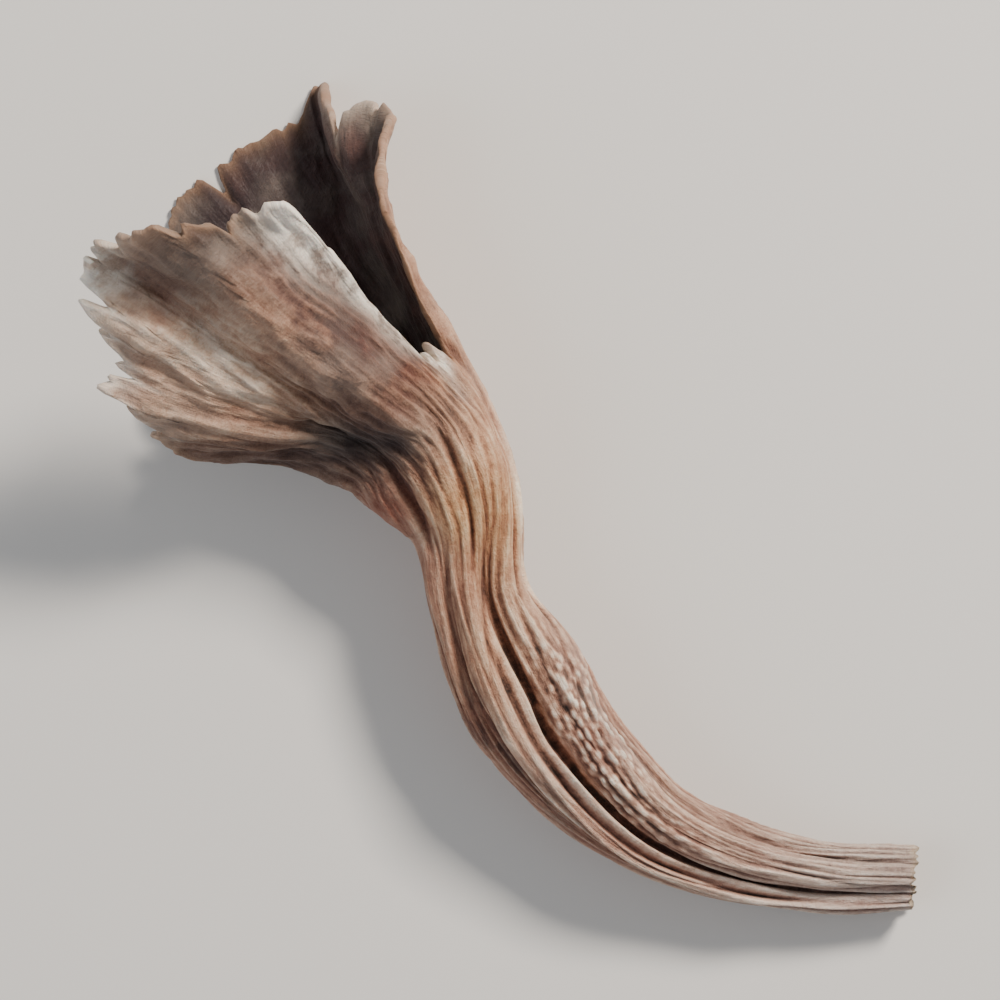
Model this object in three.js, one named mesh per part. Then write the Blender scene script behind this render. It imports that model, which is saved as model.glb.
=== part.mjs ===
// A dried black trumpet mushroom, lying on its side, in millimetres with +Z up.
// It grew as one body: a thin, fluted funnel with a torn, rolled rim, whose hollow runs down
// through a pinched neck into a furrowed stem that was cut off at the foot.
// The origin is on the surface that it lies on, under the middle of its box.
import * as THREE from "three";

const degree = Math.PI / 180;
const up = new THREE.Vector3(0, 0, 1);

// The thickness of the dried wall, and the share of it outside the formed skin in the cap.
const wallThickness = 0.66;
const outerShare = 0.5;

// The centre line from the cut foot to the mouth. Each station gives its place, half the width and
// half the height of the skin round it, and the roll of that section about the line in degrees.
const stations = [
  { x: 12.9, y: -10.2, z: 0.8, wide: 1.0, high: 0.9, roll: -10 },
  { x: 10.3, y: -10.2, z: 1.1, wide: 1.15, high: 0.9, roll: -14 },
  { x: 7.4, y: -9.7, z: 1.5, wide: 1.35, high: 1.0, roll: -18 },
  { x: 4.6, y: -8.5, z: 1.9, wide: 1.6, high: 1.2, roll: -16 },
  { x: 2.3, y: -6.5, z: 2.2, wide: 1.9, high: 1.35, roll: -8 },
  { x: 0.5, y: -4.1, z: 2.4, wide: 2.1, high: 1.4, roll: 2 },
  { x: -0.8, y: -1.4, z: 2.5, wide: 1.65, high: 1.35, roll: 8 },
  { x: -1.2, y: 1.3, z: 2.6, wide: 1.75, high: 1.5, roll: 4 },
  { x: -2.4, y: 3.6, z: 2.75, wide: 2.2, high: 1.9, roll: 0 },
  { x: -4.5, y: 5.5, z: 3.2, wide: 3.2, high: 2.5, roll: -4 },
  { x: -6.8, y: 7.2, z: 3.75, wide: 4.5, high: 3.2, roll: -3 },
  { x: -9.0, y: 9.0, z: 4.1, wide: 5.8, high: 3.65, roll: -2 },
  { x: -11.2, y: 10.9, z: 4.3, wide: 6.6, high: 3.9, roll: 0 },
];
const capPitch = 2.85; // Length of one step between the stations of the cap.

// Where the hollow ends in the stem, where it is as wide as the wall allows, and where the rings
// of the cap begin to follow the rim, as places on the row of stations.
const hollowEnd = 6.5;
const hollowFull = 8.3;
const capStart = 7.6;

// How far the wall reaches past capStart, round the mouth in equal steps from its right side,
// through the wall that faces up, the torn left side and the wall that lies below.
const reaches = [
  7.6, 2.6, 5.2, 10.0, 10.4, 13.6, 11.6, 10.2, 7.6, 7.4, 6.8, 8.0, 9.8, 10.8, 11.2, 11.0, 10.2, 10.0,
];

// The tear down the left side of the funnel: its middle and breadth in degrees, and its depth.
const tear = { turn: 184, broad: 15, deep: 3.8 };

// The square notch in the right edge of the upper wall, in the same measures.
const notch = { turn: 44, broad: 14, deep: 3.0 };

// How strongly the rim rolls outwards, as one over the radius, and how far past capStart that begins.
const rolls = [0.2, 0.25, 0.4, 0.22, 0.12, 0.25, 0.3, 0.25, 0.1, 0.1, 0.2, 0.3];
const rollStarts = [6.0, 4.0, 8.4, 9.4, 10.6, 8.4, 5.4, 6.6, 8.4, 8.8, 8.6, 7.8];

// Ragged teeth along the rim: how many go round, how far each reaches, and where they start.
const teeth = [
  { count: 9, size: 0.4, start: 20 },
  { count: 14, size: 0.24, start: 200 },
  { count: 19, size: 0.15, start: 75 },
];

// Folds that fan out through the cap: how many go round, their size at the rim, where they
// start, and how they wander in degrees for each step along the stations.
const flutes = [
  { count: 3, size: 0.4, start: 110, wander: 10 },
  { count: 5, size: 0.42, start: 60, wander: -16 },
  { count: 8, size: 0.34, start: 250, wander: 14 },
  { count: 13, size: 0.18, start: 10, wander: -10 },
];

// Furrows between the strands of the shrunken stem, which wind round it towards the neck.
const furrows = [
  { turn: 118, wind: -7, deep: 0.55, broad: 17 },
  { turn: 172, wind: -6, deep: 0.3, broad: 14 },
  { turn: 245, wind: -9, deep: 0.38, broad: 18 },
  { turn: 318, wind: -5, deep: 0.34, broad: 16 },
  { turn: 50, wind: -8, deep: 0.16, broad: 12 },
];

// Swellings and dents: where each is, its size, its breadth in degrees and its length in stations.
const swellings = [
  { turn: 195, t: 7.7, size: 0.6, broad: 42, long: 0.7 },
  { turn: 60, t: 7.5, size: 0.3, broad: 30, long: 0.5 },
  { turn: 136, t: 8.8, size: -0.8, broad: 28, long: 0.85 },
  { turn: 95, t: 6.4, size: -0.25, broad: 28, long: 0.5 },
  { turn: 20, t: 5.2, size: 0.25, broad: 30, long: 0.7 },
  { turn: 160, t: 11.0, size: 0.35, broad: 24, long: 1.3 },
  { turn: 335, t: 10.4, size: 1.3, broad: 34, long: 1.1 },
  { turn: 40, t: 9.4, size: -0.6, broad: 26, long: 0.8 },
  { turn: 54, t: 11.0, size: 0.9, broad: 20, long: 0.9 },
  { turn: 236, t: 10.9, size: 0.9, broad: 22, long: 1.0 },
  { turn: 300, t: 11.2, size: 0.35, broad: 20, long: 0.9 },
];

const columns = 72;
const stemRings = 30;
const capRings = 22;
const hollowRings = 5;
const nudge = 0.01;

// A smooth run from 0 at low to 1 at high.
function rise(low, high, value) {
  const part = Math.min(1, Math.max(0, (value - low) / (high - low)));
  return part * part * (3 - 2 * part);
}

// The curve through two values, with the value before them and the one after.
function through(before, from, to, after, part) {
  const bend = 2 * before - 5 * from + 4 * to - after + part * (3 * (from - to) + after - before);
  return from + 0.5 * part * (to - before + part * bend);
}

// A value from a list whose entries stand at equal steps round the mushroom.
function around(values, turn) {
  const count = values.length;
  const place = (((turn / (2 * Math.PI)) % 1) + 1) * count;
  const first = Math.floor(place);
  const pick = (step) => values[(first + step + count) % count];
  return through(pick(-1), pick(0), pick(1), pick(2), place - first);
}

// The signed angle from one turn to another, in degrees.
function gap(turn, otherDegrees) {
  const apart = turn / degree - otherDegrees;
  return apart - 360 * Math.round(apart / 360);
}

function bell(distance, breadth) {
  return Math.exp(-((distance / breadth) ** 2));
}

// One measure of the section at a place on the row of stations.
function measure(name, t) {
  const last = stations.length - 1;
  const first = Math.min(last - 1, Math.max(0, Math.floor(t)));
  const pick = (step) => stations[Math.min(last, Math.max(0, first + step))][name];
  return through(pick(-1), pick(0), pick(1), pick(2), t - first);
}

function centreAt(t) {
  return new THREE.Vector3(measure("x", t), measure("y", t), measure("z", t));
}

// The height of the relief over the plain skin.
function relief(turn, t) {
  const onStem = (0.55 + 0.45 * rise(0, 1, t)) * (1 - rise(5.4, 7.4, t));
  const onCap = rise(7, 12, t);
  let height = 0;
  for (const { turn: middle, wind, deep, broad } of furrows)
    height -= onStem * deep * bell(gap(turn, middle + wind * t), broad);
  for (const { count, size, start, wander } of flutes)
    height += onCap * size * Math.cos(count * turn + (start + wander * t) * degree);
  for (const { turn: middle, t: place, size, broad, long } of swellings)
    height += size * bell(gap(turn, middle), broad) * bell(t - place, long);
  return height;
}

// The plain section at a place: a point on its oval and the direction out of the oval there.
function section(turn, t) {
  const forward = centreAt(t + nudge).sub(centreAt(t - nudge)).normalize();
  const side = forward.clone().cross(up).normalize();
  side.applyAxisAngle(forward, measure("roll", t) * degree);
  const lift = side.clone().cross(forward);
  const wide = measure("wide", t);
  const high = measure("high", t);
  const point = centreAt(t)
    .addScaledVector(side, wide * Math.cos(turn))
    .addScaledVector(lift, high * Math.sin(turn));
  const outward = side
    .multiplyScalar(high * Math.cos(turn))
    .addScaledVector(lift, wide * Math.sin(turn))
    .normalize();
  return { point, outward };
}

// A point on the skin, before its rim rolls.
function skin(turn, t) {
  const { point, outward } = section(turn, t);
  return point.addScaledVector(outward, relief(turn, t));
}

// Where the rim is, on the row of stations.
function rimAt(turn) {
  let reach = around(reaches, turn);
  for (const { count, size, start } of teeth)
    reach += size * Math.cos(count * turn + start * degree);
  reach -= tear.deep * bell(gap(turn, tear.turn), tear.broad);
  reach -= notch.deep * Math.exp(-((gap(turn, notch.turn) / notch.broad) ** 4));
  return capStart + Math.max(1.2, reach) / capPitch;
}

// A point on the middle of the wall. Past the start of its roll the rim follows an arc outwards.
function wall(turn, t) {
  const start = capStart + around(rollStarts, turn) / capPitch;
  if (t <= start) return skin(turn, t);
  const foot = skin(turn, start);
  const along = foot.clone().sub(skin(turn, start - nudge)).normalize();
  const out = section(turn, start).outward;
  out.addScaledVector(along, -out.dot(along)).normalize();
  const bend = around(rolls, turn);
  const angle = bend * (t - start) * capPitch;
  return foot
    .addScaledVector(along, Math.sin(angle) / bend)
    .addScaledVector(out, (1 - Math.cos(angle)) / bend);
}

// The direction out of the wall.
function outOf(turn, t) {
  const along = wall(turn, t + nudge).sub(wall(turn, t - nudge));
  const across = wall(turn + nudge, t).sub(wall(turn - nudge, t));
  return along.cross(across).normalize();
}

// How much of the wall lies outside the formed skin: none on the solid stem.
const outerPart = (t) => wallThickness * outerShare * rise(5.5, 8.5, t);
const outside = (turn, t) => wall(turn, t).addScaledVector(outOf(turn, t), outerPart(t));

// The inner face, which closes in on the centre line where the hollow ends in the stem.
function inside(turn, t) {
  const face = wall(turn, t).addScaledVector(outOf(turn, t), outerPart(t) - wallThickness);
  const open = Math.sqrt(Math.min(1, Math.max(0, (t - hollowEnd) / (hollowFull - hollowEnd))));
  return centreAt(t).lerp(face, open);
}

// Places along the stem and through the cap, from the foot to the rim.
function placeOf(ring, turn) {
  if (ring <= stemRings) return (capStart * ring) / stemRings;
  return capStart + ((rimAt(turn) - capStart) * (ring - stemRings)) / capRings;
}

function makeMushroom() {
  const points = [];
  const faces = [];
  const rings = [];
  const addRing = (pointAt) => {
    const ring = [];
    for (let column = 0; column < columns; column++) {
      ring.push(points.length);
      points.push(pointAt((2 * Math.PI * column) / columns));
    }
    rings.push(ring);
  };
  const addPole = (point) => points.push(point) - 1;

  const footPole = addPole(centreAt(0));
  const allRings = stemRings + capRings;
  for (let ring = 0; ring <= allRings; ring++) {
    addRing((turn) => {
      const point = outside(turn, placeOf(ring, turn));
      point.z = Math.max(point.z, 0);
      return point;
    });
  }
  const lowestRing = stemRings - hollowRings;
  for (let ring = allRings; ring > lowestRing; ring--) {
    addRing((turn) => {
      const share = Math.max(0, stemRings - ring) / hollowRings;
      const t = ring > stemRings ? placeOf(ring, turn) : capStart - share * (capStart - hollowEnd);
      const point = inside(turn, t);
      point.z = Math.max(point.z, wallThickness);
      return point;
    });
  }
  const hollowPole = addPole(centreAt(hollowEnd));

  for (let ring = 0; ring + 1 < rings.length; ring++) {
    // Past the rim the rows run back inside, so the diagonal changes with them and both faces match.
    const back = ring > allRings;
    for (let column = 0; column < columns; column++) {
      const next = (column + 1) % columns;
      const [a, b] = [rings[ring][column], rings[ring][next]];
      const [d, c] = [rings[ring + 1][column], rings[ring + 1][next]];
      if (back) faces.push(a, d, b, b, d, c);
      else faces.push(a, c, b, a, d, c);
    }
  }
  for (let column = 0; column < columns; column++) {
    const next = (column + 1) % columns;
    faces.push(footPole, rings[0][column], rings[0][next]);
    const last = rings[rings.length - 1];
    faces.push(hollowPole, last[next], last[column]);
  }
  const geometry = new THREE.BufferGeometry().setFromPoints(points);
  geometry.setIndex(faces);
  geometry.computeBoundingBox();
  const middle = geometry.boundingBox.getCenter(new THREE.Vector3());
  geometry.translate(-middle.x, -middle.y, 0);
  geometry.computeVertexNormals();
  return geometry;
}

const driedFlesh = new THREE.MeshStandardMaterial({ color: 0x5a463b, roughness: 0.82, metalness: 0 });
const mushroom = new THREE.Mesh(makeMushroom(), driedFlesh);
mushroom.name = "trumpet_mushroom";

const part = new THREE.Group();
part.add(mushroom);

export default part;
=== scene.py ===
import math

import bmesh
import bpy
import numpy as np
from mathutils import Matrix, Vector, noise


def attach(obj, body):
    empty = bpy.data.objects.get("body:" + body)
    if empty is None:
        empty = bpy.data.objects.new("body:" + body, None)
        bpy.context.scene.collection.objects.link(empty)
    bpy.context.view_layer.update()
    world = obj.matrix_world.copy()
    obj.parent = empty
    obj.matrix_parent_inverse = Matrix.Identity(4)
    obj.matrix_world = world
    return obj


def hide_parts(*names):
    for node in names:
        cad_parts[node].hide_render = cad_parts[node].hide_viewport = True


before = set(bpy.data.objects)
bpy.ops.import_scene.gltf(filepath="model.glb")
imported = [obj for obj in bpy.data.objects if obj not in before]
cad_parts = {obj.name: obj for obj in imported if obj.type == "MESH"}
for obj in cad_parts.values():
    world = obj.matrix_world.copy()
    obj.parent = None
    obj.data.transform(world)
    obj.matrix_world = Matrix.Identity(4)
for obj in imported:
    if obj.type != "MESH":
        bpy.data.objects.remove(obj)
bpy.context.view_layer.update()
print("frame loaded")

fullTurn = 2 * math.pi
nudge = 0.01  # step for slopes, in stations and in radians
metresPerMm = 0.001
seedStep = 13.7  # how far a seed moves the noise
middleTone = 0.5  # between crease and crest
lastStation = 12

# A dried black trumpet mushroom on its side, grown as one body. Lengths are in millimetres.
# A turn goes round it in degrees: 0 is its right side, 90 faces up, 180 the left side, 270 down.
# A station counts along the centre line: 0 is the cut foot, the cap starts at 7.6, and the rim is near 12.
mushroom = {
    # centre line from the cut foot to the mouth: x, y, z, half width, half height, roll
    "stations": [
        (12.9, -10.2, 0.8, 1.0, 0.9, -10),
        (10.3, -10.2, 1.1, 1.15, 0.9, -14),
        (7.4, -9.7, 1.5, 1.35, 1.0, -18),
        (4.6, -8.5, 1.9, 1.6, 1.2, -16),
        (2.3, -6.5, 2.2, 1.9, 1.35, -8),
        (0.5, -4.1, 2.4, 2.1, 1.4, 2),
        (-0.8, -1.4, 2.5, 1.65, 1.35, 8),
        (-1.2, 1.3, 2.6, 1.75, 1.5, 4),
        (-2.4, 3.6, 2.75, 2.2, 1.9, 0),
        (-4.5, 5.5, 3.2, 3.2, 2.5, -4),
        (-6.8, 7.2, 3.75, 4.5, 3.2, -3),
        (-9.0, 9.0, 4.1, 5.8, 3.65, -2),
        (-11.2, 10.9, 4.3, 6.6, 3.9, 0),
    ],
    "boxMiddle": (-0.0642, 1.6880959),  # what stands at 0, 0 in the frame
    "pitch": 2.85,  # length of one step between stations
    "hollowEnd": 6.5,  # where the hollow closes
    "hollowFull": 8.3,  # where it has its full width
    "capStart": 7.6,
    # how far the wall reaches past capStart, round the mouth in equal steps
    "reaches": [7.6, 2.6, 5.2, 10.0, 10.4, 13.6, 11.6, 10.2, 7.6,
                7.4, 6.8, 8.0, 9.8, 10.8, 11.2, 11.0, 10.2, 10.0],
    "leastReach": 1.2,
    # the tear in the left side of the rim, and the notch between the front and back walls
    "tear": {"turn": 184, "broad": 15, "deep": 3.8},
    "notch": {"turn": 44, "broad": 14, "deep": 3.0},
    # how sharply the rim rolls outwards, and how far past capStart the roll begins
    "rolls": [0.2, 0.25, 0.4, 0.22, 0.12, 0.25, 0.3, 0.25, 0.1, 0.1, 0.2, 0.3],
    "rollStarts": [6.0, 4.0, 8.4, 9.4, 10.6, 8.4, 5.4, 6.6, 8.4, 8.8, 8.6, 7.8],
    # teeth of the rim: count, size, start
    "teeth": [(9, 0.4, 20), (14, 0.24, 200), (19, 0.15, 75)],
    # narrow splits in the rim: turn, broad, deep; a negative depth is a small lobe
    "splits": [
        (31, 1.5, 0.4), (39, 1.5, 0.5), (47, 1.6, 0.6), (51, 1.4, -0.3), (55, 5.0, -0.7), (57, 1.0, 0.7),
        (69, 1.8, 0.8), (79, 1.0, 0.5), (88, 1.3, 0.8), (101, 1.1, 0.6), (109, 0.9, 0.5), (119, 1.8, 1.0),
        (127, 0.8, 0.6), (138, 1.2, 0.9), (147, 0.8, 0.5), (156, 1.2, 0.6),
        (219, 1.5, 0.8), (258, 1.4, 0.6), (286, 1.6, 0.9), (331, 1.5, 0.8), (352, 1.4, 0.6),
    ],
    # ragged edges of the rim and the foot: radius, width, size
    "ragged": [(4.6, 1.1, 0.4), (4.6, 0.45, 0.42), (4.6, 0.2, 0.34)],
    "footRagged": [(1.0, 0.5, 0.22), (1.0, 0.16, 0.16)],
    "raggedLip": 0.8,  # how much more ragged the pale lip is
    # folds that fan out through the cap: count, size, start, wander
    "flutes": [(3, 0.4, 110, 10), (5, 0.42, 60, -16), (8, 0.34, 250, 14), (13, 0.18, 10, -10)],
    "flutesGrow": (7, 12),  # stations between which they grow
    # furrows of the stem: turn, wind, deep, broad
    "furrows": [
        (118, -7, 0.55, 17),
        (172, -6, 0.3, 14),
        (245, -9, 0.38, 18),
        (318, -5, 0.34, 16),
        (50, -8, 0.16, 12),
    ],
    "furrowsFade": (5.4, 7.4),  # stations between which they fade out
    "furrowFoot": 0.55,  # how much of their depth is left at the foot
    # narrow seams and ridges beside the furrows: turn, wind, size, broad, first and last station
    "seams": [
        (121, -7, -0.26, 4.0, 0.2, 6.2),
        (128, -7, 0.16, 3.5, 1.2, 5.6),
        (136, -7, -0.2, 4.0, 1.0, 5.8),
        (84, -7, -0.1, 3.5, 0.6, 4.6),
        (102, -8, -0.08, 3.0, 1.6, 5.0),
        (163, -6, -0.16, 4.5, 0.8, 5.4),
        (78, -9, -0.28, 4.5, 5.4, 8.4),
        (98, -9, -0.16, 4.0, 5.8, 8.2),
        (58, -6, -0.2, 4.0, 5.6, 8.0),
        (203, -9, -0.26, 6.0, 6.3, 8.3),
        (232, -9, 0.2, 11.0, 6.7, 8.1),
        (172, -9, 0.1, 7.0, 6.4, 8.2),
        (150, -9, -0.22, 4.5, 6.0, 8.6),
        (238, -9, -0.2, 5.0, 0.4, 5.6),
        (322, -5, -0.2, 5.0, 0.4, 5.6),
    ],
    "seamFade": 0.8,  # how many stations a seam takes to fade at its ends
    # bulges and dents: turn, station, size, broad, long
    "swellings": [
        (195, 7.7, 0.6, 42, 0.7),
        (60, 7.5, 0.3, 30, 0.5),
        (136, 8.8, -0.8, 28, 0.85),
        (95, 6.4, -0.25, 28, 0.5),
        (20, 5.2, 0.25, 30, 0.7),
        (160, 11.0, 0.35, 24, 1.3),
        (335, 10.4, 1.3, 34, 1.1),
        (40, 9.4, -0.6, 26, 0.8),
        (54, 11.0, 0.9, 20, 0.9),
        (236, 10.9, 0.9, 22, 1.0),
        (300, 11.2, 0.35, 20, 0.9),
    ],
    "neckWall": 0.56,  # thickness of the wall where the hollow is full
    "rimWall": 0.26,
    "wallThins": (4, 0.6),  # stations from the rim between which it thins
    "lipWall": 0.46,  # the same at the pale, swollen lip
    # uneven thickness of the cap's wall: radius, width, length, share
    "uneven": (4.6, 0.8, 0.9, 0.35),
    "unevenFrom": (7.6, 8.4),
    "wallMiddle": (5.5, 8.5),  # stations between which the form comes to run in the middle of the wall
    # where the lip is pale and swollen, its paleness partly a painted highlight: turn, broad, strength
    "lips": [(50, 15, 1.0), (116, 15, 0.9), (144, 14, 0.6), (338, 14, 0.3)],
    # lowest that the inside comes, share of its wrinkles, share of both at the rim, and its stations
    "floorWall": (0.45, 0.8, 0.35, 0.5),
    "cutHollow": 0.35,  # how far the middle of the cut foot sinks in
    "cutRough": (1.0, 0.5, 0.6, 0.12),  # roughness of the cut: radius, width, length, size
    "tornReach": 0.12,  # stations over which the foot's edge is torn
    "columns": 392,
    "rows": {"cut": 8, "stem": 132, "cap": 62, "lip": 6, "inside": 38, "hollow": 6},
    # the stem's rows lie closer where the beads are: shares of the rows, and their stations
    "stemRows": [(0.0, 0.15, 0.83, 1.0), (0.0, 2.4, 5.6, 7.6)],
    # Wrinkles of the shrunken skin. Each layer is laid round a drum of its own radius, where the ridges
    # lie about one width apart and run for about one length.
    "outer": [
        {"shape": "crease", "radius": 1.7, "width": 0.6, "length": 7.0, "high": 0.12, "on": "stem"},
        {"shape": "crest", "radius": 1.7, "width": 0.3, "length": 4.0, "high": 0.075, "on": "stem"},
        {"shape": "swell", "radius": 1.7, "width": 1.3, "length": 2.2, "high": 0.1, "on": "stem"},
        {"shape": "crest", "radius": 4.6, "width": 0.6, "length": 3.0, "high": 0.09, "on": "cap"},
        {"shape": "crest", "radius": 4.6, "width": 0.28, "length": 1.4, "high": 0.07, "on": "cap"},
        {"shape": "crease", "radius": 4.6, "width": 1.2, "length": 4.0, "high": 0.08, "on": "cap"},
        {"shape": "swell", "radius": 4.6, "width": 0.6, "length": 0.8, "high": 0.11, "on": "cap"},
    ],
    "folds": [
        {"shape": "swell", "radius": 4.6, "width": 1.5, "length": 5.0, "high": 0.26, "on": "cap"},
        {"shape": "swell", "radius": 4.6, "width": 0.8, "length": 3.0, "high": 0.2, "on": "rim"},
    ],
    "inner": [
        {"shape": "crest", "radius": 4.6, "width": 0.5, "length": 2.2, "high": 0.1, "on": "cap"},
        {"shape": "swell", "radius": 4.6, "width": 0.4, "length": 0.5, "high": 0.08, "on": "cap"},
    ],
    # how the noise becomes ridges: where their flanks end, power, level
    "crest": (0.34, 0.8, 0.5),
    "crease": (0.26, 0.7, 0.6),
    "wind": 7,  # degrees that the ridges turn for each station
    "windEnd": 8,  # station where they stop turning
    "stray": (1.2, 1.0, 4.0, 0.16),  # radius, width, length, and how far the ridges stray in radians
    # how the height above its surroundings is painted into the tone as shade in the creases and light on
    # the crests: columns looked at, height, weight
    "toneAndPaintedLight": [(5, 0.02, 0.15), (12, 0.16, 0.13), (31, 0.6, 0.06)],
    "capTone": (7.0, 9.0, 0.44),  # stations between which it weakens, and how much is left on the cap
    "seeds": {"folds": 3, "outer": 11, "inner": 23, "rim": 31, "cut": 41, "foot": 51, "uneven": 61},
}


# Goes smoothly from 0 at low to 1 at high.
def rise(low, high, value):
    part = np.clip((value - low) / (high - low), 0, 1)
    return part * part * (3 - 2 * part)


# A smooth curve through four values, from the second to the third.
def through(before, start, end, after, part):
    bend = 2 * before - 5 * start + 4 * end - after + part * (3 * (start - end) + after - before)
    return start + 0.5 * part * (end - before + part * bend)


# Values in equal steps round the mouth, from turn 0 on.
def around(values, turn):
    values = np.asarray(values, float)
    place = turn / fullTurn % 1 * len(values)
    first = np.floor(place).astype(int)
    near = [values[(first + step) % len(values)] for step in (-1, 0, 1, 2)]
    return through(*near, place - first)


# How many degrees lie between two turns, the short way round.
def gap(turn, otherDegrees):
    apart = np.degrees(turn) - otherDegrees
    return apart - 360 * np.round(apart / 360)


def bell(distance, breadth):
    return np.exp(-((distance / breadth) ** 2))


def unit(vectors):
    return vectors / np.maximum(np.linalg.norm(vectors, axis=1, keepdims=True), 1e-12)


# The centre line, as x, y, z, half width, half height and roll at each place.
def stationsAt(t):
    table = np.array(mushroom["stations"], float)
    last = len(table) - 1
    first = np.clip(np.floor(t).astype(int), 0, last - 1)
    near = [table[np.clip(first + step, 0, last)] for step in (-1, 0, 1, 2)]
    return through(*near, (t - first)[:, None])


def forwardAt(t):
    return unit(stationsAt(t + nudge)[:, :3] - stationsAt(t - nudge)[:, :3])


# Furrows, folds, bulges and dents, as a height above the plain oval.
def formRelief(turn, t):
    atFoot = mushroom["furrowFoot"]
    onStem = (atFoot + (1 - atFoot) * rise(0, 1, t)) * (1 - rise(*mushroom["furrowsFade"], t))
    onCap = rise(*mushroom["flutesGrow"], t)
    height = np.zeros_like(t)
    for middle, wind, deep, broad in mushroom["furrows"]:
        height -= onStem * deep * bell(gap(turn, middle + wind * t), broad)
    for count, size, start, wander in mushroom["flutes"]:
        height += onCap * size * np.cos(count * turn + np.radians(start + wander * t))
    for middle, place, size, broad, long in mushroom["swellings"]:
        height += size * bell(gap(turn, middle), broad) * bell(t - place, long)
    return height


def seamsAt(turn, t):
    height = np.zeros_like(t)
    fade = mushroom["seamFade"]
    for middle, wind, size, broad, first, last in mushroom["seams"]:
        share = rise(first, first + fade, t) * (1 - rise(last - fade, last, t))
        height += size * share * bell(gap(turn, middle + wind * t), broad)
    return height


# A point on the plain oval at each place, and the direction out of the oval.
def sectionAt(turn, t):
    here = stationsAt(t)
    forward = forwardAt(t)
    side = unit(np.cross(forward, (0, 0, 1)))
    roll = np.radians(here[:, 5:6])
    side = side * np.cos(roll) + np.cross(forward, side) * np.sin(roll)
    lift = np.cross(side, forward)
    wide, high = here[:, 3:4], here[:, 4:5]
    cosine, sine = np.cos(turn)[:, None], np.sin(turn)[:, None]
    point = here[:, :3] + side * wide * cosine + lift * high * sine
    return point, unit(side * high * cosine + lift * wide * sine)


def skinAt(turn, t):
    point, outward = sectionAt(turn, t)
    return point + outward * formRelief(turn, t)[:, None]


# Noise on a drum, so that it meets itself after a full turn. Each seed moves it along the drum.
def noiseAt(turn, along, radius, width, length, seed):
    x = (radius / width * np.cos(turn)).tolist()
    y = (radius / width * np.sin(turn)).tolist()
    z = (along / length + seedStep * seed).tolist()
    return np.array([noise.noise(place) for place in zip(x, y, z)])


# How pale and swollen the lip is; part of the paleness is a painted highlight.
def lipAt(turn):
    return sum(strong * bell(gap(turn, middle), broad) for middle, broad, strong in mushroom["lips"])


# The station of the rim, with its teeth, splits and ragged edge.
def rimAt(turn):
    tear, notch = mushroom["tear"], mushroom["notch"]
    reach = around(mushroom["reaches"], turn)
    for count, size, start in mushroom["teeth"]:
        reach = reach + size * np.cos(count * turn + math.radians(start))
    reach = reach - tear["deep"] * bell(gap(turn, tear["turn"]), tear["broad"])
    reach = reach - notch["deep"] * np.exp(-((gap(turn, notch["turn"]) / notch["broad"]) ** 4))
    for middle, broad, deep in mushroom["splits"]:
        reach = reach - deep * bell(gap(turn, middle), broad)
    more = 1 + mushroom["raggedLip"] * lipAt(turn)
    for number, (radius, width, size) in enumerate(mushroom["ragged"]):
        seed = mushroom["seeds"]["rim"] + number
        reach = reach + size * more * noiseAt(turn, np.zeros_like(turn), radius, width, 1, seed)
    return mushroom["capStart"] + np.maximum(mushroom["leastReach"], reach) / mushroom["pitch"]


# The middle of the wall. Past the start of its roll the rim follows an arc outwards.
def wallAt(turn, t):
    start = mushroom["capStart"] + around(mushroom["rollStarts"], turn) / mushroom["pitch"]
    foot = skinAt(turn, np.minimum(t, start))
    along = unit(skinAt(turn, start) - skinAt(turn, start - nudge))
    out = sectionAt(turn, start)[1]
    out = unit(out - along * np.sum(out * along, axis=1, keepdims=True))
    bend = around(mushroom["rolls"], turn)[:, None]
    angle = bend * (np.maximum(t - start, 0) * mushroom["pitch"])[:, None]
    return foot + along * np.sin(angle) / bend + out * (1 - np.cos(angle)) / bend


# The directions out of the wall and along it towards the rim.
def facingAt(turn, t):
    along = wallAt(turn, t + nudge) - wallAt(turn, t - nudge)
    across = wallAt(turn + nudge, t) - wallAt(turn - nudge, t)
    return unit(np.cross(along, across)), unit(along)


# Strands wind round the stem as they climb, and run straight on through the cap.
def woundAt(turn, t):
    return turn + np.radians(mushroom["wind"] * np.minimum(t, mushroom["windEnd"]))


def wrinklesAt(name, turn, t, rim):
    along = t * mushroom["pitch"]
    seed = mushroom["seeds"][name]
    # how much of a layer there is: stations between which it fades or grows, at the rim counted from it
    shares = {
        "stem": 1 - rise(6.4, 8.4, t),
        "cap": rise(6.6, 8.8, t),
        "rim": rise(1.6, 0.0, rim - t) * rise(7, 8, t),
    }
    radius, width, length, far = mushroom["stray"]
    wound = woundAt(turn, t) + far * noiseAt(turn, along, radius, width, length, seed + 0.5)
    height = np.zeros_like(t)
    for number, layer in enumerate(mushroom[name]):
        rough = noiseAt(wound, along, layer["radius"], layer["width"], layer["length"], seed + number)
        if layer["shape"] != "swell":
            flank, power, level = mushroom[layer["shape"]]
            rough = np.minimum(np.abs(rough) / flank, 1) ** power - level
        if layer["shape"] == "crest":
            rough = -rough
        height += rough * layer["high"] * shares[layer["on"]]
    return height


# Painted light and shade: pale where the skin stands above its surroundings, dark where it lies below
# them, as if crests caught the light and creases lay in shade.
def paintedReliefShadeOf(height, row, column):
    table = np.zeros((row.max() + 1, column.max() + 1))
    table[row, column] = height
    tone = np.full_like(table, middleTone)
    for reach, high, weight in mushroom["toneAndPaintedLight"]:
        steps = range(-reach, reach + 1)
        nearby = sum(np.roll(table, step, axis=1) for step in steps) / (2 * reach + 1)
        tone += weight * np.tanh((table - nearby) / high)
    return tone[row, column]
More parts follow.
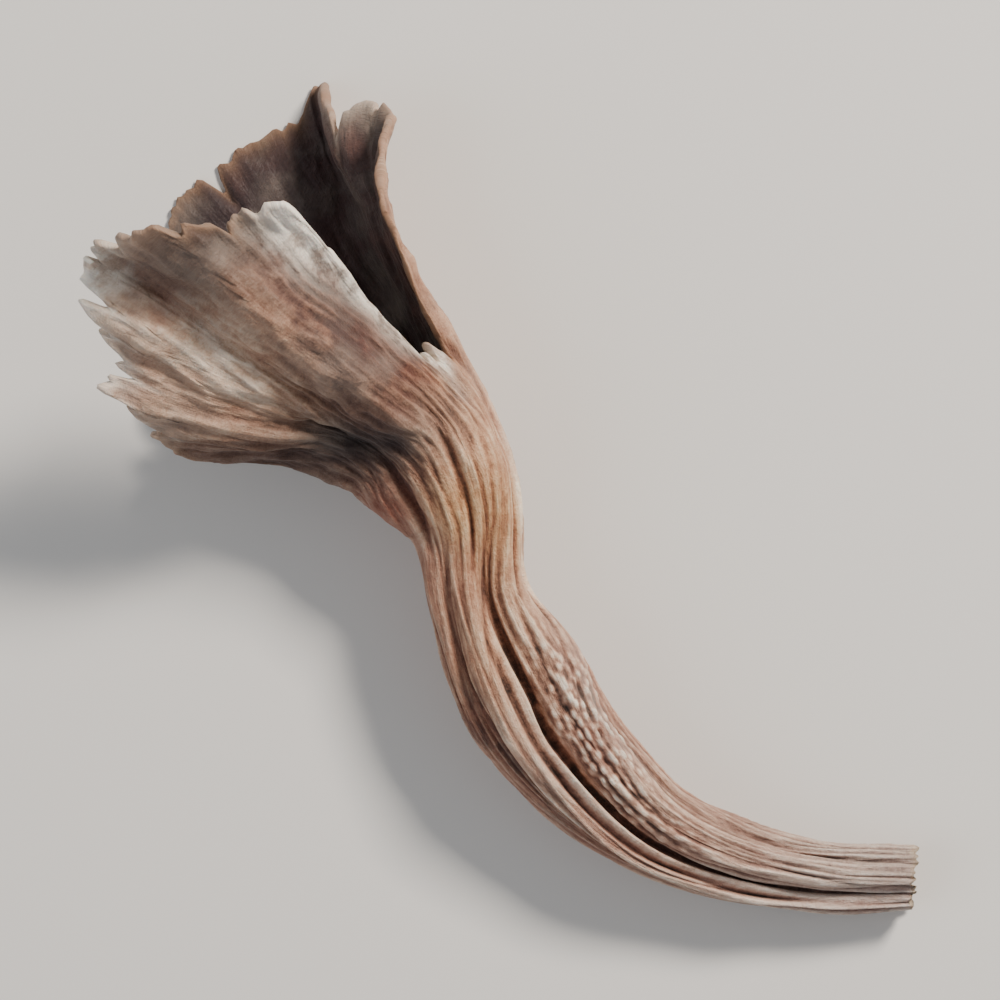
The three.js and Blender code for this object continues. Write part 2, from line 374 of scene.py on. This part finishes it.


# Dried mushroom flesh: a tough brown skin that shrank in air into ridges, matt with a faint waxy sheen on
# its crests, and dusted in places with pale spores. Painted shade darkens its creases nearly to black, and
# painted light pales its crests.
flesh = {
    # colours of the cap, stem, neck, foot and inner face, each from crease to crest, so that they carry
    # the painted shade and light of the relief
    "capStops": [(0.0, "#1d1411"), (0.18, "#463026"), (0.34, "#785644"), (0.5, "#a37b62"),
                 (0.64, "#bd967b"), (0.8, "#d5b69c"), (1.0, "#edd9c4")],
    "stemStops": [(0.0, "#160e0b"), (0.16, "#3b261c"), (0.34, "#7a5342"), (0.5, "#a57b65"),
                  (0.64, "#c39b83"), (0.8, "#dfc1a9"), (1.0, "#f4e6d3")],
    "neckStops": [(0.0, "#190d07"), (0.18, "#482814"), (0.36, "#8a5835"), (0.5, "#b9855a"),
                  (0.64, "#d4a678"), (0.8, "#eaca9f"), (1.0, "#f7e7cc")],
    "footStops": [(0.0, "#14100e"), (0.18, "#43372f"), (0.36, "#85736a"), (0.5, "#b19b8f"),
                  (0.66, "#cbb8ab"), (0.82, "#e2d5ca"), (1.0, "#f2eae0")],
    "innerStops": [(0.0, "#080606"), (0.3, "#181112"), (0.5, "#2c2021"), (0.7, "#4a3a38"),
                   (1.0, "#85706a")],
    # stains in the order that they lie over each other, with painted shade and a painted highlight among
    # them: colour, strength
    "colours": {
        "blush": ("#824634", 1.0),
        "red": ("#86402c", 0.65),
        # painted shade: a near-black colour laid where shade falls
        "shade": ("#241b1d", 0.82),
        "bruise": ("#3f2420", 1.0),
        "bloom": ("#c6b4a3", 1.0),
        "edge": ("#c79b76", 0.3),
        # the pale lip, partly a painted highlight, and painted highlights at the peak, along the notch's
        # edge and on the stem's right ridge
        "pale": ("#f1e8da", 0.95),
        "cut": ("#cbb594", 0.6),
    },
    # where the skin is stained, or painted with shade or highlight: turn, station, size, broad, long
    "stains": {
        "gold": [(60, 6.9, 1.0, 50, 0.8), (105, 7.1, 0.5, 30, 0.6), (110, 5.5, 0.35, 60, 0.8),
                 (50, 8.3, 0.35, 22, 0.5)],
        "red": [(168, 7.5, 1.0, 34, 0.7), (165, 4.4, 0.4, 30, 1.4), (120, 6.1, 0.3, 40, 0.4),
                (310, 10.4, 0.3, 50, 1.1), (250, 9.5, 0.3, 60, 1.5), (62, 9.2, 0.5, 24, 0.8),
                (26, 8.2, 0.3, 16, 0.4)],
        # painted shade in the pocket between the cap and the neck, under the cap's lower edge, along its
        # upper edge, and inside the back wall
        "shade": [(130, 8.65, 1.15, 40, 0.75), (100, 8.25, 0.5, 16, 0.35), (72, 9.6, 0.22, 26, 0.9),
                  (168, 9.9, 0.6, 24, 1.2), (205, 8.9, 0.7, 30, 0.9), (83, 11.4, 1.1, 28, 0.85),
                  (265, 10.8, 1.0, 60, 1.6)],
        "foot": [(90, 0.0, 1.0, 400, 1.9)],
        "beads": [(45, 4.3, 1.0, 32, 0.9), (75, 3.2, 0.5, 26, 1.0)],
        "bruise": [(74, 9.7, 1.0, 28, 1.0), (46, 8.7, 0.7, 20, 0.5), (146, 4.5, 0.85, 34, 1.2),
                   (128, 10.6, 0.3, 22, 1.0)],
        # pale lip and painted highlights: on the stem's right side, at the peak, along the notch's edge,
        # and on the left rim
        "pale": [(30, 4.2, 0.22, 20, 1.1), (59, 10.7, 1.6, 11, 0.5), (54, 9.8, 0.9, 6, 0.5),
                 (48, 9.1, 0.9, 7, 0.3), (38, 8.5, 0.6, 9, 0.14), (113, 11.9, 0.6, 9, 0.3)],
    },
    "inside": {"pale": 0.3, "bruise": 0.4, "red": 0.5},  # how much of a stain is left on the inner face
    # where the tone is raised or lowered, in the same measures. The raised spots at the peak, on the
    # neck's right edge and along the stem's right ridge are painted highlights, and the raised middle of
    # the cap is painted light over the shade between its flutes; the rest is tone that differs from place
    # to place.
    "toneAndPaintedLight": [(116, 10.3, 0.28, 22, 1.2), (108, 10.7, 0.26, 14, 0.7), (72, 9.6, -0.34, 28, 0.9),
              (32, 8.4, -0.03, 22, 0.4), (90, 11.5, -0.08, 24, 0.6), (62, 11.0, 0.12, 8, 0.5),
              (8, 6.9, 0.12, 16, 0.8), (30, 6.8, 0.04, 34, 0.9), (42, 4.1, 0.17, 24, 1.1),
              (136, 3.4, 0.08, 7, 1.6), (90, 1.0, 0.06, 400, 5.0)],
    "beads": (0.34, 0.1, 0.1, 0.7),  # size and height in millimetres, where a bead starts and ends to fall
    "capColours": (7.0, 8.8),  # stations between which the cap's colours take over
    "edgeWidth": (0.25, 0.6),  # millimetres that the rim's colour reaches, and how much more at the lip
    "edgeFrom": (7.6, 8.2),  # stations between which it starts
    "cutReach": 0.05,  # stations that the pale cut's colour reaches up the skin
    "drum": 2.6,  # radius that the strand patterns are laid round
    # patterns that follow the strands: millimetres across and along, detail, roughness
    "strands": {
        "fibre": (0.1, 1.8, 3.0, 0.6),
        "crinkle": (0.26, 0.26, 3.0, 0.6),
        "fleck": (0.15, 0.24, 3.0, 0.6),
        "grain": (0.05, 0.05, 3.0, 0.6),
        "blots": (0.55, 1.0, 4.0, 0.65),
    },
    # patterns without a direction: millimetres, detail
    "clouds": {"mottle": (1.3, 4.0), "patches": (2.4, 5.0)},
    "relief": {"fibre": 0.06, "crinkle": 0.05, "fleck": 0.05, "grain": 0.03},  # millimetres high
    "fibreWeight": (0.34, 0.17),  # how much the fibres vary the tone on the stem and on the cap
    "weights": {"crinkle": 0.16, "mottle": 0.35, "grain": 0.3, "fleck": 0.34, "blots": 0.34, "beads": 0.6},
    # how a pattern becomes a share: from low, from high, to low, to high
    "ranges": {
        "bloom": (0.48, 0.78, 0.0, 0.3),
        "blush": (0.54, 0.26, 0.0, 0.42),
        "bruise": (0.48, 0.6, 0.0, 0.85),
        "worn": (0.62, 0.48, 0.3, 1.0),
        "gloss": (0.2, 0.85, 0.8, 0.46),
    },
}


def stainAt(spots, turn, t):
    stain = np.zeros_like(t)
    for middle, place, size, broad, long in spots:
        stain += size * bell(gap(turn, middle), broad) * bell(t - place, long)
    return stain


# Small domes packed side by side, from -0.5 between them to 0.5 at their tops.
def beadsAt(strand, share):
    size, _, inside, outside = flesh["beads"]
    height = np.zeros_like(share)
    near = np.flatnonzero(share > 0.02)  # elsewhere there are none
    distance = np.array([noise.voronoi(spot)[0][0] for spot in (strand[near] / size).tolist()])
    height[near] = share[near] * (0.5 - rise(inside, outside, distance))
    return height


# The rows of the mesh: the cut foot from its middle, up the outside, over the lip, down the inside.
def rowPlan():
    plan = []
    for kind, count in mushroom["rows"].items():
        plan += [(kind, row / count) for row in range(count)]
    return plan + [("hollow", 1.0)]


# A flat grid, with the column and row of each vertex. Its last column lies on its first.
def makeGrid(name, columns, rows):
    bm = bmesh.new()
    bmesh.ops.create_grid(bm, x_segments=columns, y_segments=rows, size=1.0)
    mesh = bpy.data.meshes.new(name)
    bm.to_mesh(mesh)
    grid = np.zeros(len(mesh.vertices) * 3)
    mesh.vertices.foreach_get("co", grid)
    grid = (grid.reshape(-1, 3) + 1) / 2
    column = np.round(grid[:, 0] * columns).astype(int) % columns
    row = np.round(grid[:, 1] * rows).astype(int)
    return bm, mesh, column, row


# Merges the seam and the two poles, and turns the faces outwards.
def closeSkin(bm, mesh):
    bm.clear()
    bm.from_mesh(mesh)
    bmesh.ops.remove_doubles(bm, verts=bm.verts, dist=1e-8)
    bmesh.ops.recalc_face_normals(bm, faces=bm.faces)
    for face in bm.faces:
        face.smooth = True
    bm.to_mesh(mesh)
    bm.free()


# Half the wall, and how far its outer and inner faces lie from the form.
def halvesAt(turn, t, rim):
    neckWall, rimWall, lipWall = (mushroom[name] for name in ("neckWall", "rimWall", "lipWall"))
    rimWall = rimWall + (lipWall - rimWall) * lipAt(turn)
    half = 0.5 * (neckWall + (rimWall - neckWall) * rise(*mushroom["wallThins"], rim - t))
    radius, width, length, size = mushroom["uneven"]
    uneven = noiseAt(turn, t * mushroom["pitch"], radius, width, length, mushroom["seeds"]["uneven"])
    half *= 1 + size * uneven * rise(*mushroom["unevenFrom"], t)
    outerHalf = half * rise(*mushroom["wallMiddle"], t)
    return half, outerHalf, 2 * half - outerHalf


# How far the edge of the cut foot is torn, and how far the cut sinks in towards its middle.
def footAt(turn, t, share):
    torn = np.zeros_like(t)
    for radius, width, size in mushroom["footRagged"]:
        torn += size * noiseAt(turn, np.zeros_like(t), radius, width, 1, mushroom["seeds"]["foot"])
    radius, width, length, size = mushroom["cutRough"]
    rough = size * noiseAt(turn, share * 2, radius, width, length, mushroom["seeds"]["cut"])
    return torn * bell(t, mushroom["tornReach"]), mushroom["cutHollow"] * (1 - share**2) + rough * share


def makeMushroom():
    plan = rowPlan()
    bm, mesh, column, row = makeGrid("driedTrumpet", mushroom["columns"], len(plan) - 1)
    turn = column / mushroom["columns"] * fullTurn
    kind = np.array([name for name, _ in plan])[row]
    share = np.array([part for _, part in plan])[row]
    cut = kind == "cut"
    lip = kind == "lip"
    inner = np.isin(kind, ("inside", "hollow"))

    capStart, hollowEnd = mushroom["capStart"], mushroom["hollowEnd"]
    rim = rimAt(turn)
    t = np.select(
        [kind == "stem", kind == "cap", lip, kind == "inside", kind == "hollow"],
        [np.interp(share, *mushroom["stemRows"]), capStart + (rim - capStart) * share, rim,
         rim - (rim - capStart) * share, capStart - (capStart - hollowEnd) * share],
        0.0,
    )
    middle = wallAt(turn, t)
    out, along = facingAt(turn, t)
    print("form laid out")

    fold = wrinklesAt("folds", turn, t, rim)
    outerFine = wrinklesAt("outer", turn, t, rim) + seamsAt(turn, t)
    innerFine = wrinklesAt("inner", turn, t, rim)
    drum, wound = flesh["drum"], woundAt(turn, t)
    strand = np.stack([drum * np.cos(wound), drum * np.sin(wound), t * mushroom["pitch"]], axis=1)
    beads = beadsAt(strand, stainAt(flesh["stains"]["beads"], turn, t) * (kind == "stem"))
    outerFine += flesh["beads"][1] * beads
    form = formRelief(turn, t) + fold
    # painted shade in the creases and painted light on the crests, weaker on the cap
    tone = paintedReliefShadeOf(np.where(inner, innerFine - form, outerFine + form), row, column)
    first, last, left = mushroom["capTone"]
    tone = middleTone + (tone - middleTone) * (1 - (1 - left) * rise(first, last, t))
    print("wrinkles laid out")

    # over goes from 1 on the outer face to -1 on the inner one, in a half circle round the lip
    over = np.where(lip, np.cos(share * math.pi), np.where(inner, -1.0, 1.0))
    beyond = np.where(lip, np.sin(share * math.pi), 0.0)
    outerShare, innerShare = 0.5 + 0.5 * over, 0.5 - 0.5 * over
    half, outerHalf, innerHalf = halvesAt(turn, t, rim)
    offset = np.where(inner, -innerHalf + innerFine, outerHalf + outerFine)
    offset[lip] = (half * over + outerFine * outerShare + innerFine * innerShare)[lip]
    points = middle + out * (fold + offset)[:, None] + along * (half * beyond)[:, None]

    # the cut draws the foot in to its middle, and the hollow closes below the neck
    centre = stationsAt(t)[:, :3]
    forward = forwardAt(t)
    torn, sunk = footAt(turn, t, share)
    points += forward * torn[:, None]
    points[cut] = (centre + (points - centre) * share[:, None] + forward * sunk[:, None])[cut]
    openness = np.sqrt(np.clip((t - hollowEnd) / (mushroom["hollowFull"] - hollowEnd), 0, 1))
    points[inner] = (centre + (points - centre) * openness[:, None])[inner]

    # nothing sinks into the floor, and the inside stays a wall above it
    low, fine, atRim, stations = mushroom["floorWall"]
    floorWall = (low + fine * innerFine) * (atRim + (1 - atRim) * rise(0.0, stations, rim - t))
    points[:, 2] = np.maximum(points[:, 2], floorWall * innerShare)
    points[:, :2] -= mushroom["boxMiddle"]
    mesh.vertices.foreach_set("co", (points * metresPerMm).ravel())

    # what the finish reads: tone of the relief with its painted shade and light, inner face, nearness to
    # the rim, place, and stains
    nearLip = lipAt(turn)
    edgeWidth, lipMore = flesh["edgeWidth"]
    edge = np.exp(-((rim - t) * mushroom["pitch"]) / (edgeWidth + lipMore * nearLip))
    looks = {
        "tone": np.where(cut, middleTone, tone + np.where(inner, 0.0, stainAt(flesh["toneAndPaintedLight"], turn, t))),
        "inner": innerShare,
        "edge": np.where(lip, 1.0, edge * rise(*flesh["edgeFrom"], t)),
        "place": t / lastStation,
        "cut": np.where(cut, 1.0, bell(t, flesh["cutReach"])),
        "lipPaleAndHighlight": nearLip,
    }
    for name, spots in flesh["stains"].items():
        looks[name] = stainAt(spots, turn, t) * np.where(inner, flesh["inside"].get(name, 1.0), 1.0)
    # the bead's height also goes into the tone, as painted light on each bead's top and painted shade
    # between the beads
    looks["beads"] = middleTone + beads  # each bead's height takes the place of its stain
    for name, values in looks.items():
        attribute = mesh.attributes.new(name, "FLOAT", "POINT")
        attribute.data.foreach_set("value", values.astype(np.float32))
    attribute = mesh.attributes.new("strand", "FLOAT_VECTOR", "POINT")
    attribute.data.foreach_set("vector", strand.astype(np.float32).ravel())

    closeSkin(bm, mesh)
    piece = bpy.data.objects.new("driedTrumpet", mesh)
    bpy.context.scene.collection.objects.link(piece)
    return piece


def linear(hexText):
    channels = [int(hexText[start:start + 2], 16) / 255 for start in (1, 3, 5)]
    return [c / 12.92 if c <= 0.04045 else ((c + 0.055) / 1.055) ** 2.4 for c in channels] + [1.0]


# Adds a node and gives back one of its outputs. Inputs are values, or outputs to link from.
def addNode(tree, kind, inputs=None, out=0, stops=None, **settings):
    node = tree.nodes.new(kind)
    for name, value in settings.items():
        setattr(node, name, value)
    if stops:
        ramp = node.color_ramp.elements
        while len(ramp) < len(stops):
            ramp.new(0.5)
        for element, (position, hexText) in zip(ramp, stops):
            element.position = position
            element.color = linear(hexText)
    for name, value in (inputs or {}).items():
        if isinstance(value, bpy.types.NodeSocket):
            tree.links.new(value, node.inputs[name])
        else:
            node.inputs[name].default_value = value
    return node.outputs[out] if node.outputs else None


def makeFlesh():
    material = bpy.data.materials.new("driedFlesh")
    material.use_nodes = True
    tree = material.node_tree
    tree.nodes.clear()
    seen = {}
    for name in ("tone", "inner", "edge", "place", "cut", "lipPaleAndHighlight", *flesh["stains"]):
        seen[name] = addNode(tree, "ShaderNodeAttribute", out="Fac", attribute_name=name)
    strand = addNode(tree, "ShaderNodeAttribute", out="Vector", attribute_name="strand")
    spot = addNode(tree, "ShaderNodeTexCoord", out="Object")

    # fibres run along the strands, flecks and blots are drawn out a little, crinkles and grain are round
    patterns = {"beads": seen["beads"]}
    for name, (wide, long, detail, roughness) in flesh["strands"].items():
        scale = (1 / wide, 1 / wide, 1 / long)
        place = addNode(tree, "ShaderNodeMapping", {"Vector": strand, "Scale": scale})
        inputs = {"Vector": place, "Scale": 1.0, "Detail": detail, "Roughness": roughness}
        patterns[name] = addNode(tree, "ShaderNodeTexNoise", inputs)
    for name, (size, detail) in flesh["clouds"].items():
        inputs = {"Vector": spot, "Scale": 1 / (size * metresPerMm), "Detail": detail}
        patterns[name] = addNode(tree, "ShaderNodeTexNoise", inputs)

    # the tone of the relief, with its painted shade and light, varied by each of them
    low, high = (station / lastStation for station in flesh["capColours"])
    onCap = addNode(
        tree, "ShaderNodeMapRange", {0: seen["place"], 1: low, 2: high}, interpolation_type="SMOOTHSTEP"
    )
    onStem, left = flesh["fibreWeight"]
    fibreWeight = addNode(tree, "ShaderNodeMapRange", {0: onCap, 3: onStem, 4: left})
    tone = seen["tone"]
    for name, weight in (("fibre", fibreWeight), *flesh["weights"].items()):
        varied = addNode(tree, "ShaderNodeMath", {0: patterns[name], 1: middleTone}, operation="SUBTRACT")
        tone = addNode(tree, "ShaderNodeMath", {0: varied, 1: weight, 2: tone}, operation="MULTIPLY_ADD")

    # each part of the skin goes from crease to crest in its own colours, dark in the painted shade of the
    # creases and pale in the painted light of the crests
    colour = addNode(tree, "ShaderNodeValToRGB", {0: tone}, stops=flesh["stemStops"])
    for share, stops in (
        (seen["foot"], "footStops"), (onCap, "capStops"), (seen["gold"], "neckStops"),
        (seen["inner"], "innerStops"),
    ):
        other = addNode(tree, "ShaderNodeValToRGB", {0: tone}, stops=flesh[stops])
        colour = addNode(tree, "ShaderNodeMix", {0: share, 6: colour, 7: other}, out=2, data_type="RGBA")

    # blots break up the bruises and wear off the pale lip with its painted highlight, and the spore bloom
    # lies on the cap alone
    shares = {name: seen.get(name) for name in flesh["colours"]}
    for name, pattern in (
        ("bloom", patterns["patches"]), ("blush", patterns["patches"]), ("bruise", patterns["blots"]),
        ("worn", patterns["blots"]), ("gloss", tone),
    ):
        low, high, first, last = flesh["ranges"][name]
        shares[name] = addNode(
            tree, "ShaderNodeMapRange", {0: pattern, 1: low, 2: high, 3: first, 4: last}
        )
    # the pale lip with its painted highlight, near the rim and at the listed spots
    shares["pale"] = addNode(
        tree, "ShaderNodeMath", {0: seen["edge"], 1: seen["lipPaleAndHighlight"], 2: seen["pale"]},
        operation="MULTIPLY_ADD",
    )
    for name, other in (("bloom", onCap), ("bruise", seen["bruise"]), ("pale", shares["worn"])):
        shares[name] = addNode(tree, "ShaderNodeMath", {0: shares[name], 1: other}, operation="MULTIPLY")
    for name, (hexText, strength) in flesh["colours"].items():
        share = addNode(
            tree, "ShaderNodeMath", {0: shares[name], 1: strength}, operation="MULTIPLY", use_clamp=True
        )
        colour = addNode(
            tree, "ShaderNodeMix", {0: share, 6: colour, 7: linear(hexText)}, out=2, data_type="RGBA"
        )

    normal = None
    for name, high in flesh["relief"].items():
        inputs = {"Height": patterns[name], "Distance": high * metresPerMm, "Strength": 1.0}
        if normal:
            inputs["Normal"] = normal
        normal = addNode(tree, "ShaderNodeBump", inputs)
    shader = addNode(
        tree, "ShaderNodeBsdfPrincipled",
        {"Base Color": colour, "Roughness": shares["gloss"], "Normal": normal, "IOR": 1.45,
         "Subsurface Weight": 0.12, "Subsurface Radius": (0.9, 0.45, 0.25), "Subsurface Scale": 0.0002,
         "Sheen Weight": 0.08, "Sheen Roughness": 0.6},
    )
    addNode(tree, "ShaderNodeOutputMaterial", {"Surface": shader})
    return material


trumpet = makeMushroom()
trumpet.data.materials.append(makeFlesh())
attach(trumpet, "root")
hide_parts("trumpet_mushroom")
print("mushroom made:", len(trumpet.data.polygons), "faces")

# A sheet of matt paper under soft studio light, in metres.
studio = {
    "floorSize": 0.8,
    "floor": "#e6e3de",
    "sky": "#f2f4f7",
    "skyStrength": 0.32,
    # place, size, power, colour
    "lamps": {
        "keyLight": ((0.13, 0.14, 0.15), 0.055, 0.95, "#fff6ec"),
        "fillLight": ((-0.18, -0.06, 0.16), 0.18, 0.16, "#eef4ff"),
    },
}


def makeFloor():
    bm = bmesh.new()
    bmesh.ops.create_grid(bm, x_segments=1, y_segments=1, size=studio["floorSize"] / 2)
    mesh = bpy.data.meshes.new("floor")
    bm.to_mesh(mesh)
    bm.free()
    piece = bpy.data.objects.new("floor", mesh)
    bpy.context.scene.collection.objects.link(piece)
    # uncoated paper: pale, even and without any shine
    paper = bpy.data.materials.new("mattPaper")
    paper.use_nodes = True
    tree = paper.node_tree
    tree.nodes.clear()
    inputs = {"Base Color": linear(studio["floor"]), "Roughness": 0.9}
    shader = addNode(tree, "ShaderNodeBsdfPrincipled", inputs)
    addNode(tree, "ShaderNodeOutputMaterial", {"Surface": shader})
    mesh.materials.append(paper)


def addLamp(name, place, size, power, hexText):
    data = bpy.data.lights.new(name, "AREA")
    data.size = size
    data.energy = power
    data.color = linear(hexText)[:3]
    lamp = bpy.data.objects.new(name, data)
    lamp.location = place
    lamp.rotation_euler = (-Vector(place)).to_track_quat("-Z", "Y").to_euler()
    bpy.context.scene.collection.objects.link(lamp)


makeFloor()
for lampName, lampSettings in studio["lamps"].items():
    addLamp(lampName, *lampSettings)

world = bpy.data.worlds.new("studio")
world.use_nodes = True
background = world.node_tree.nodes["Background"].inputs
background["Color"].default_value = linear(studio["sky"])
background["Strength"].default_value = studio["skyStrength"]
bpy.context.scene.world = world

# The camera looks straight down, as the photograph sees the mushroom's front wall.
view = {"away": 0.3, "across": 0.0315, "sensor": 36}  # metres, metres, millimetres
cameraData = bpy.data.cameras.new("camera")
cameraData.sensor_width = view["sensor"]
cameraData.lens = view["sensor"] * view["away"] / view["across"]
cameraData.clip_start = 0.01
camera = bpy.data.objects.new("camera", cameraData)
camera.location = (0, 0, view["away"])
bpy.context.scene.collection.objects.link(camera)
bpy.context.scene.camera = camera
print("stage made")
